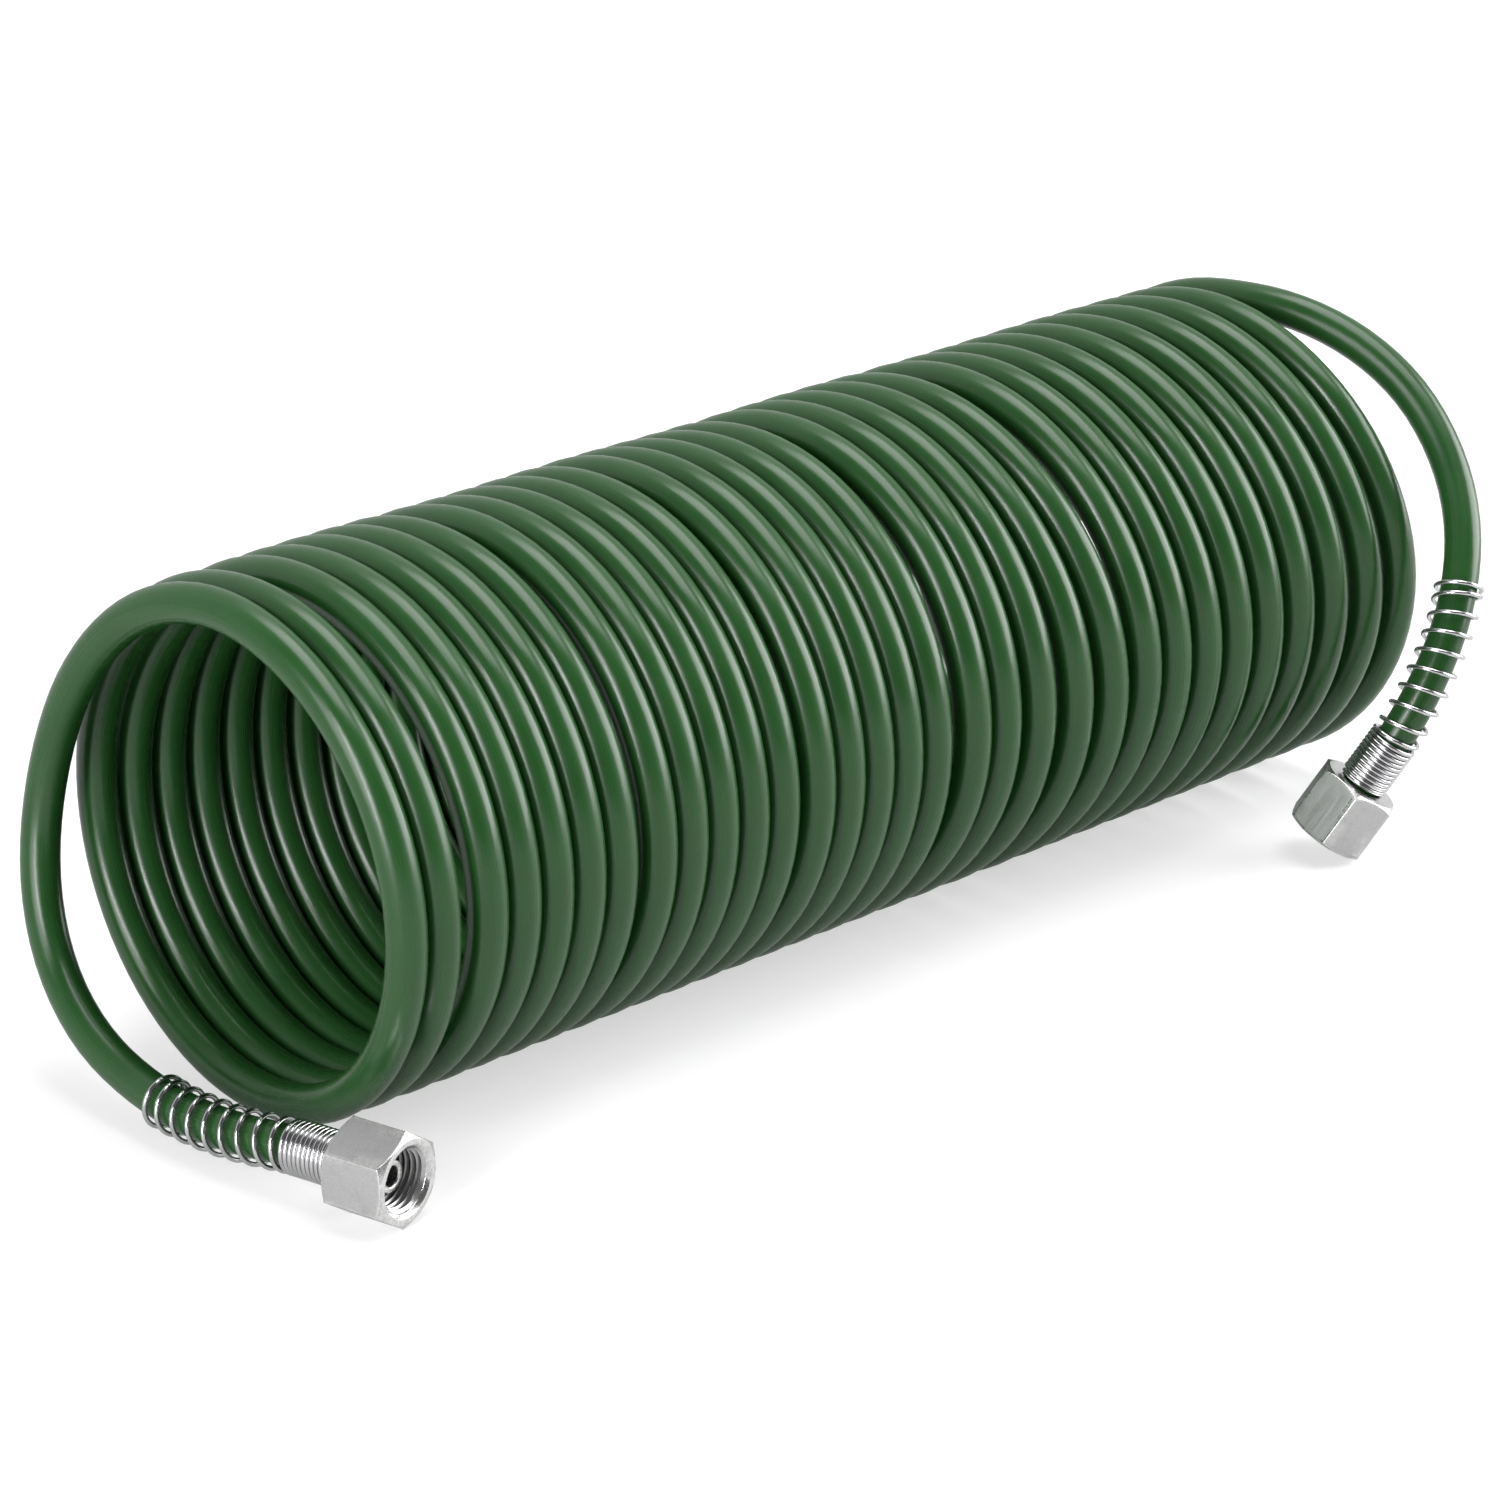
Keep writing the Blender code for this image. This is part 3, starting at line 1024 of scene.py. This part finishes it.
# %% Material: green extruded plastic
hose_green, tree, shader = start_material(
    "hose green", {"IOR": 1.50, "Specular IOR Level": 0.5, "Metallic": 0.0}
)
place = own_place(tree)
lines = group_node(
    tree, fine_lines, {"Place": place, "Squeeze": (0.8, 500.0, 500.0), "Lines": 6.0, "Breaks": 0.5}
)
grain = group_node(tree, surface_grain, {"Place": place, "Size": 1500.0})
line_share = ranged(tree, lines.outputs["Lines"], 0.30, 0.70, 0.0, 1.0)
lined = mixed_colour(tree, line_share, (0.012, 0.058, 0.012, 1.0), (0.014, 0.067, 0.014, 1.0))
cloud_share = ranged(tree, grain.outputs["Clouds"], 0.35, 0.65, 0.0, 0.5)
dyed = mixed_colour(tree, cloud_share, lined, (0.015, 0.072, 0.015, 1.0))
tree.links.new(dyed, shader.inputs["Base Color"])
rough_lines = ranged(tree, lines.outputs["Fine"], 0.30, 0.70, 0.0, 0.05)
rough = sum_of(tree, rough_lines, ranged(tree, grain.outputs["Clouds"], 0.3, 0.7, 0.21, 0.27))
tree.links.new(rough, shader.inputs["Roughness"])
line_height = product_of(tree, lines.outputs["Lines"], 0.8)
grain_height = product_of(tree, grain.outputs["Grain"], 0.2)
bumped(tree, shader, sum_of(tree, line_height, grain_height), 0.000015, 0.12)
coat(hose_green, hose)
print("hose green:", len(tree.nodes), "nodes")

# %% [markdown]
# The guards are spring wire with bright nickel plating. Drawing the wire through a
# die leaves lines along it, so it shares the group with the hose at a finer scale.
# A little grime in the plating keeps it from looking like a mirror.

# %% Material: plated spring wire
spring_wire, tree, shader = start_material("plated spring wire", {"Metallic": 1.0, "IOR": 2.0})
place = own_place(tree)
lines = group_node(
    tree, fine_lines, {"Place": place, "Squeeze": (6.0, 900.0, 900.0), "Lines": 9.0, "Breaks": 0.5}
)
grain = group_node(tree, surface_grain, {"Place": place, "Size": 4000.0})
tone = ranged(tree, lines.outputs["Lines"], 0.30, 0.70, 0.0, 1.0)
plated = mixed_colour(tree, tone, (0.50, 0.50, 0.51, 1.0), (0.68, 0.68, 0.69, 1.0))
dull = ranged(tree, grain.outputs["Clouds"], 0.50, 0.72, 0.0, 0.35)
tree.links.new(mixed_colour(tree, dull, plated, (0.36, 0.36, 0.37, 1.0)), shader.inputs["Base Color"])
tree.links.new(ranged(tree, grain.outputs["Clouds"], 0.3, 0.75, 0.11, 0.20), shader.inputs["Roughness"])
bumped(tree, shader, lines.outputs["Lines"], 0.00001, 0.08)
coat(spring_wire, near_spring, far_spring)
print("plated spring wire:", len(tree.nodes), "nodes")

# %% [markdown]
# The nuts are brass with satin nickel. A fine grain scatters the light, the edges
# are rubbed brighter, and the flats carry faint drawing lines from the bar. The stem
# has the same plating over the marks of the lathe, which run round its axis, so its
# lines are squeezed along the axis instead of across it.

# %% Material: satin nickel for the nuts
satin_nickel, tree, shader = start_material("satin nickel", {"Metallic": 1.0, "IOR": 2.0})
place = own_place(tree)
edge = add_node(tree, "ShaderNodeAttribute", attribute_name="edge").outputs["Fac"]
grain = group_node(tree, surface_grain, {"Place": place, "Size": 5200.0})
lines = group_node(
    tree, fine_lines, {"Place": place, "Squeeze": (900.0, 900.0, 25.0), "Lines": 3.0, "Breaks": 0.6}
)
worn = group_node(tree, worn_edges, {"Place": place, "Edge": edge, "Size": 900.0, "Amount": 0.85})
speckle = ranged(tree, grain.outputs["Grain"], 0.30, 0.70, 0.0, 1.0)
satin = mixed_colour(tree, speckle, (0.45, 0.45, 0.45, 1.0), (0.60, 0.60, 0.60, 1.0))
stained = mixed_colour(
    tree, ranged(tree, grain.outputs["Clouds"], 0.52, 0.75, 0.0, 0.35), satin, (0.32, 0.32, 0.32, 1.0)
)
rubbed = mixed_colour(tree, worn.outputs["Worn"], stained, (0.82, 0.82, 0.81, 1.0))
tree.links.new(rubbed, shader.inputs["Base Color"])
satin_rough = sum_of(
    tree,
    ranged(tree, lines.outputs["Lines"], 0.3, 0.7, 0.30, 0.38),
    product_of(tree, worn.outputs["Worn"], -0.18),
)
tree.links.new(satin_rough, shader.inputs["Roughness"])
grain_height = product_of(tree, grain.outputs["Grain"], 0.7)
line_height = product_of(tree, lines.outputs["Lines"], 0.3)
bumped(tree, shader, sum_of(tree, grain_height, line_height), 0.00003, 0.45)
coat(satin_nickel, near_nut, far_nut)
print("satin nickel:", len(tree.nodes), "nodes")

# %% Material: turned nickel for the stems
turned_nickel, tree, shader = start_material("turned nickel", {"Metallic": 1.0, "IOR": 2.0})
place = own_place(tree)
edge = add_node(tree, "ShaderNodeAttribute", attribute_name="edge").outputs["Fac"]
split = add_node(tree, "ShaderNodeSeparateXYZ", {"Vector": place})
flat_place = add_node(tree, "ShaderNodeCombineXYZ", {"X": split.outputs["X"], "Y": split.outputs["Y"]})
reach = add_node(tree, "ShaderNodeVectorMath", {0: flat_place.outputs["Vector"]}, operation="LENGTH")
turned_place = add_node(
    tree, "ShaderNodeCombineXYZ", {"X": reach.outputs["Value"], "Y": 0.0, "Z": split.outputs["Z"]}
)
lines = group_node(
    tree,
    fine_lines,
    {"Place": turned_place.outputs["Vector"], "Squeeze": (900.0, 1.0, 900.0), "Lines": 7.0, "Breaks": 0.6},
)
grain = group_node(tree, surface_grain, {"Place": place, "Size": 4200.0})
worn = group_node(tree, worn_edges, {"Place": place, "Edge": edge, "Size": 900.0, "Amount": 0.7})
tone = ranged(tree, lines.outputs["Lines"], 0.30, 0.70, 0.0, 1.0)
ringed = mixed_colour(tree, tone, (0.38, 0.38, 0.38, 1.0), (0.55, 0.55, 0.54, 1.0))
tree.links.new(
    mixed_colour(tree, worn.outputs["Worn"], ringed, (0.90, 0.90, 0.89, 1.0)), shader.inputs["Base Color"]
)
tree.links.new(ranged(tree, grain.outputs["Grain"], 0.3, 0.7, 0.20, 0.32), shader.inputs["Roughness"])
bumped(tree, shader, lines.outputs["Lines"], 0.00003, 0.5)
coat(turned_nickel, near_stem, far_stem)
print("turned nickel:", len(tree.nodes), "nodes")

# %% [markdown]
# The stage is a white floor with soft light. Glossy plastic shows its surroundings
# more than its lamps: a soft panel stands beyond the far end, so that it lights only
# the right flank of each turn, another shines into the open near end, a wide one hangs
# above, a narrow one stands to the left of the camera, and the room in front is dark.
# A camera ray sees plain white instead of the room. The floor glows when it is looked
# at, and less when it is mirrored, so that it looks white but bounces little light.

# %% Floor
glow_looked_at = 0.50
glow_mirrored = 0.12
glow_always = 0.08

bpy.ops.object.select_all(action="DESELECT")
bpy.ops.mesh.primitive_plane_add(size=8.0, location=(0.0, 0.0, 0.0))
floor = bpy.context.active_object
floor.name = "floor"
floor_white, tree, shader = start_material(
    "floor white",
    {
        "Roughness": 0.6,
        "Specular IOR Level": 0.2,
        "Emission Color": (1.0, 1.0, 1.0, 1.0),
    },
)
path_kind = add_node(tree, "ShaderNodeLightPath").outputs
looked_at = product_of(tree, path_kind["Is Camera Ray"], glow_looked_at)
mirrored = product_of(tree, path_kind["Is Glossy Ray"], glow_mirrored)
glow = sum_of(tree, sum_of(tree, looked_at, mirrored), glow_always)
tree.links.new(glow, shader.inputs["Emission Strength"])
floor_place = add_node(tree, "ShaderNodeTexCoord").outputs["Object"]
grain = group_node(tree, surface_grain, {"Place": floor_place, "Size": 60.0})
cloud_share = ranged(tree, grain.outputs["Clouds"], 0.3, 0.7, 0.0, 1.0)
paper = mixed_colour(tree, cloud_share, (0.46, 0.46, 0.46, 1.0), (0.48, 0.48, 0.48, 1.0))
tree.links.new(paper, shader.inputs["Base Color"])
floor.data.materials.append(floor_white)


# %% Soft panels
def soft_panel(name, place, aim, width, height, power):
    """An area light at a place, facing a point, with its size in metres."""
    data = bpy.data.lights.new(name, "AREA")
    data.shape = "RECTANGLE"
    data.size = width
    data.size_y = height
    data.energy = power
    panel = bpy.data.objects.new(name, data)
    scene_collection.objects.link(panel)
    panel.location = place
    panel.rotation_euler = (aim - place).to_track_quat("-Z", "Y").to_euler()


coil_middle = Vector((0.0, 0.0, 0.05))
right_way = Vector((0.72813, -0.68544, 0.0))
front_way = Vector((-0.68548, -0.72814, 0.0))
strip_place = right_way * -0.55 + front_way * 1.0 + Vector((0.0, 0.0, 0.45))
soft_panel("right panel", Vector((1.45, -0.85, 0.60)), coil_middle, 1.4, 1.3, 33.0)
soft_panel("left panel", Vector((-1.50, -0.30, 0.45)), coil_middle, 1.0, 1.0, 15.0)
soft_panel("top panel", Vector((0.35, -0.05, 1.70)), coil_middle, 1.5, 1.2, 25.0)
soft_panel("strip light", strip_place, coil_middle, 0.08, 0.8, 5.0)
print("panels:", [light.name for light in bpy.data.lights])

# %% Surroundings
bright_room = 0.76
dark_room = 0.10
dark_starts = 0.15
dark_full = 0.75

world = bpy.data.worlds.new("surroundings")
scene.world = world
world.use_nodes = True
tree = world.node_tree
background = tree.nodes["Background"]
direction = add_node(tree, "ShaderNodeTexCoord").outputs["Generated"]
dark_way = front_way * 0.8 + Vector((0.0, 0.0, 0.6))
toward_dark = add_node(
    tree, "ShaderNodeVectorMath", {0: direction, 1: tuple(dark_way)}, operation="DOT_PRODUCT"
).outputs["Value"]
room = ranged(tree, toward_dark, dark_starts, dark_full, bright_room, dark_room)
seen = add_node(tree, "ShaderNodeLightPath").outputs["Is Camera Ray"]
strength = add_node(tree, "ShaderNodeMix", {0: seen, 2: room, 3: 1.0}, data_type="FLOAT").outputs[0]
tree.links.new(strength, background.inputs["Strength"])
background.inputs["Color"].default_value = (1.0, 1.0, 1.0, 1.0)
scene.view_settings.view_transform = "Standard"
print("surroundings:", len(tree.nodes), "nodes")
